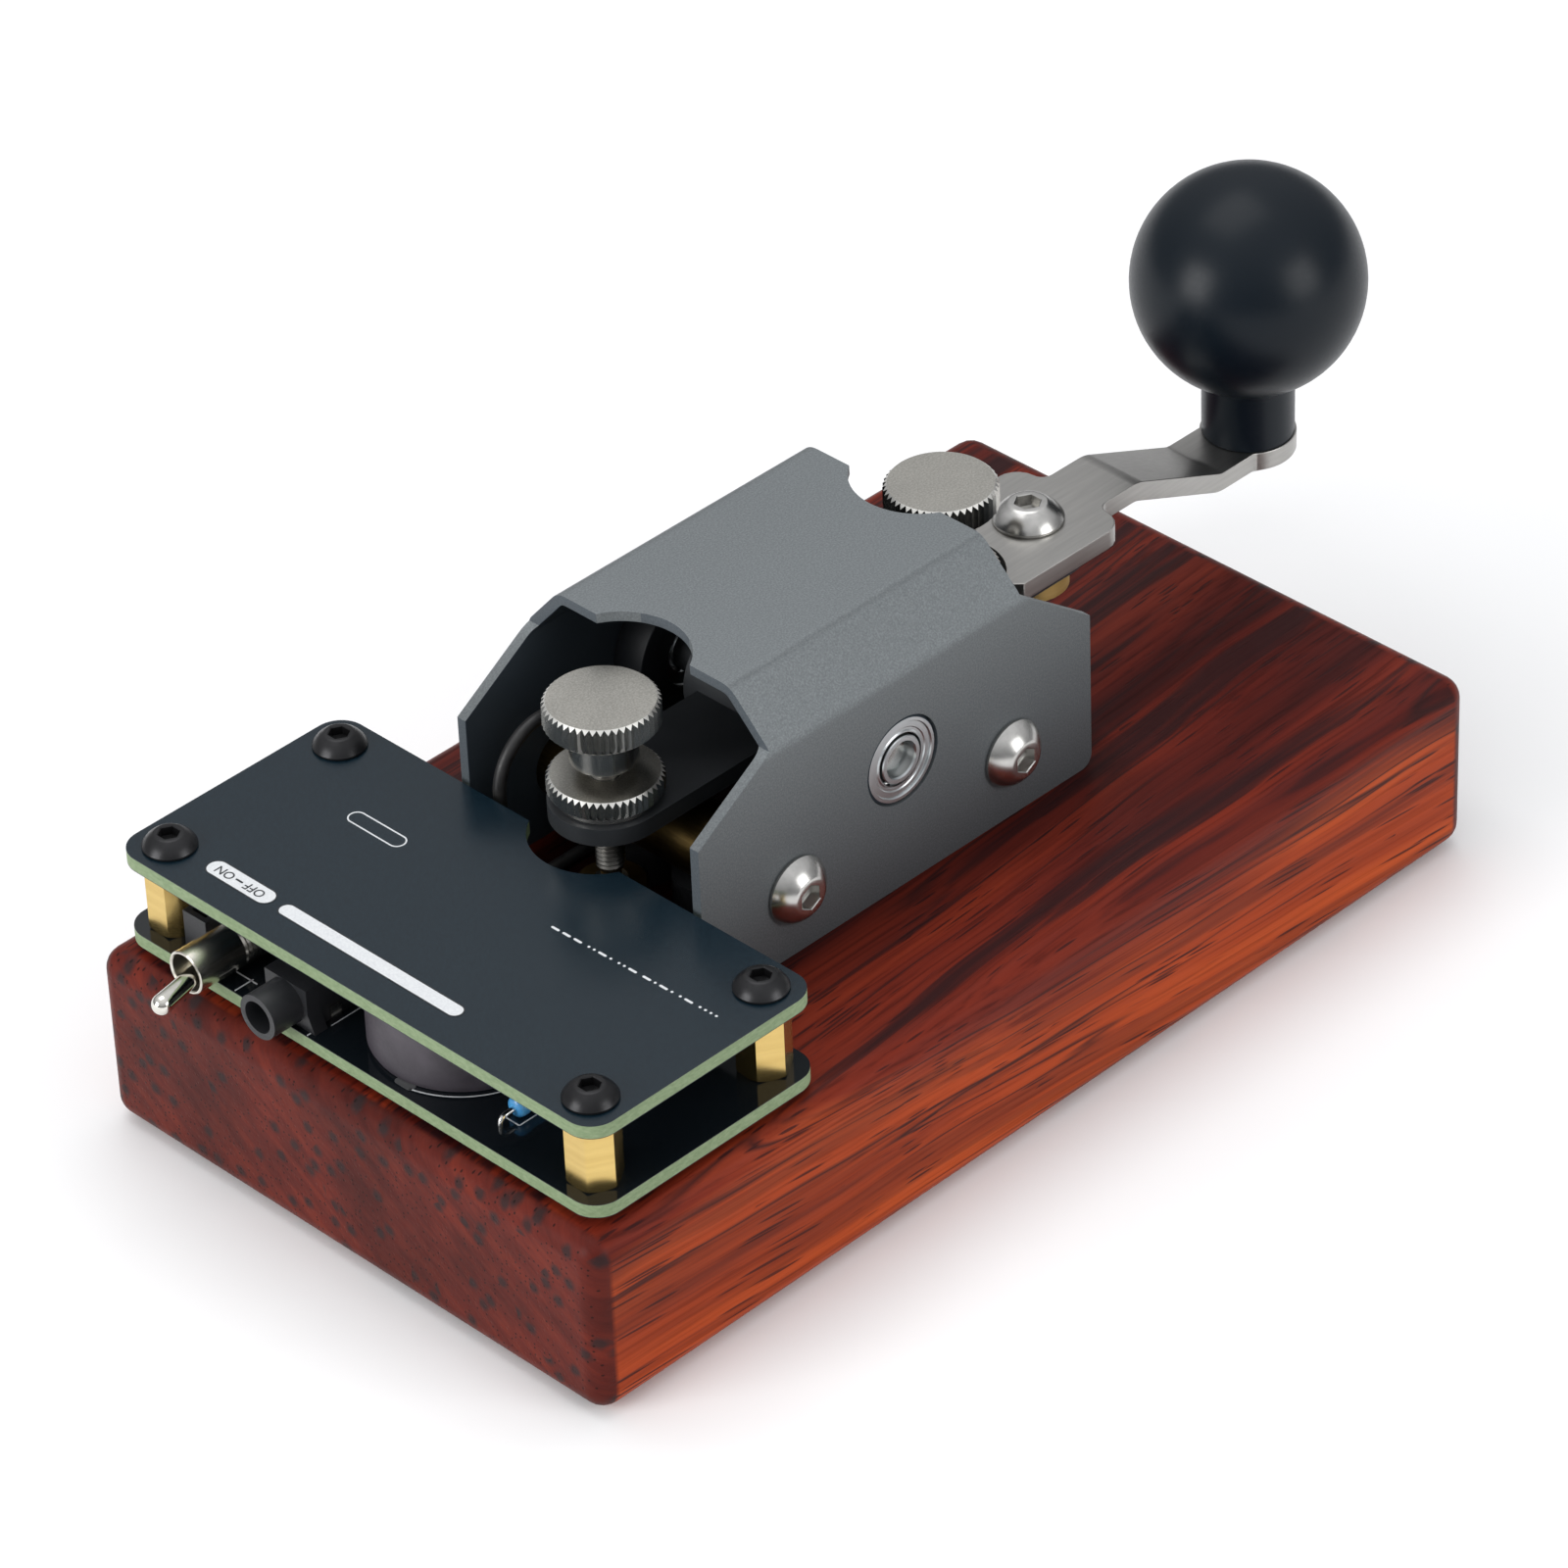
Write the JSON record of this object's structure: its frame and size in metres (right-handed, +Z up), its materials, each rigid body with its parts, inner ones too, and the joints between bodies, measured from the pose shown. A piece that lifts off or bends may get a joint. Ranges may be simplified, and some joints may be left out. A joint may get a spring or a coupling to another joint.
{
  "type": "telegraph key",
  "caption": "Straight telegraph key with a ball-knob lever under a folded metal cover and a small sounder board, on a wooden base.",
  "frame": {"origin": "centre of the face it stands on, the underside of the base's sheet", "axes": "+X along the lever towards the knob and the operator, +Y to the side away from the picture's view, +Z up"},
  "size_m": [0.1531, 0.072, 0.0652],
  "materials": {
    "wood": "semi-gloss lacquer",
    "pad": "matte",
    "cover": "fine satin",
    "steel": "polished",
    "nickel": "satin",
    "brushed_plate": "brushed",
    "brass": "bright",
    "contact": "bright",
    "black_metal": "satin black",
    "black_screw": "black oxide",
    "black_plastic": "moulded",
    "knob": "satin black",
    "board": "solder mask",
    "buzzer": "moulded",
    "resistor": "lacquered",
    "wire": "smooth sleeve",
    "solder": "bright"
  },
  "bodies": {
    "base": {"wood_base": "wood", "non_slip_pad": "pad", "cover": "cover", "cover_screws": "steel", "cross_bars": "brass", "bar_spacers": "black_plastic", "bar_screws": "steel", "bearing_housings": "black_metal", "bearing_outer_rings": "steel", "bearing_shields": "steel", "bearing_balls": "steel", "contact_posts": "brass", "post_pads": "contact", "post_screws": "steel", "return_spring": "steel", "spring_seat": "brass", "lower_board": "board", "upper_board": "board", "board_standoffs": "brass", "board_washers": "black_plastic", "board_screws": "black_screw", "board_base_screws": "steel", "switch_body": "black_plastic", "switch_frame": "steel", "switch_bushing": "steel", "jack_body": "black_plastic", "jack_pins": "steel", "buzzer": "buzzer", "resistor": "resistor", "resistor_leads": "steel", "battery_socket": "black_plastic", "signal_wires": "wire", "solder_joints": "solder"},
    "lever": {"bearing_inner_rings": "steel", "axle": "steel", "lever_bar": "black_metal", "threaded_boss": "brass", "handle_plate": "brushed_plate", "handle_screw": "steel", "ball_knob": "knob", "knob_screw": "steel"},
    "rear_tip": {"rear_contact_tip": "contact"},
    "rear_screw": {"rear_adjust_screw": "nickel"},
    "rear_nut": {"rear_lock_nut": "nickel"},
    "front_tip": {"front_contact_tip": "contact"},
    "front_screw": {"front_adjust_screw": "nickel"},
    "front_nut": {"front_lock_nut": "nickel"},
    "toggle": {"switch_lever": "steel"}
  },
  "joints": [
    {"name": "lever_press", "type": "hinge", "parent": "base", "child": "lever", "pos_m": [-0.0014, 0, 0.0364], "axis": [0, 1, 0], "range_deg": [0, 0.95], "stiffness_Nm_per_rad": 1.2, "springref_deg": -2.69, "deforming": ["return_spring"]},
    {"name": "rear_tip_lift", "type": "slide", "parent": "lever", "child": "rear_tip", "axis": [0, 0, 1], "range_m": [0, 0.0005]},
    {"name": "rear_screw_turn", "type": "hinge", "parent": "rear_tip", "child": "rear_screw", "pos_m": [-0.026, 0, 0.045], "axis": [0, 0, 1], "range_deg": [0, 360]},
    {"name": "rear_nut_turn", "type": "hinge", "parent": "lever", "child": "rear_nut", "pos_m": [-0.026, 0, 0.0387], "axis": [0, 0, 1], "range_deg": [0, 90]},
    {"name": "front_tip_lift", "type": "slide", "parent": "lever", "child": "front_tip", "axis": [0, 0, 1], "range_m": [0, 0.0005]},
    {"name": "front_screw_turn", "type": "hinge", "parent": "front_tip", "child": "front_screw", "pos_m": [0.0225, 0, 0.046], "axis": [0, 0, 1], "range_deg": [0, 360]},
    {"name": "front_nut_turn", "type": "hinge", "parent": "lever", "child": "front_nut", "pos_m": [0.0225, 0, 0.0387], "axis": [0, 0, 1], "range_deg": [0, 90]},
    {"name": "switch_flip", "type": "hinge", "parent": "base", "child": "toggle", "pos_m": [-0.0612, 0.0204, 0.0266], "axis": [0, 0, -1], "range_deg": [0, 27]}
  ],
  "couplings": [
    {"joint": "rear_screw_turn", "follows": "rear_tip_lift", "rad_per_m": 12566},
    {"joint": "front_screw_turn", "follows": "front_tip_lift", "rad_per_m": 12566}
  ]
}
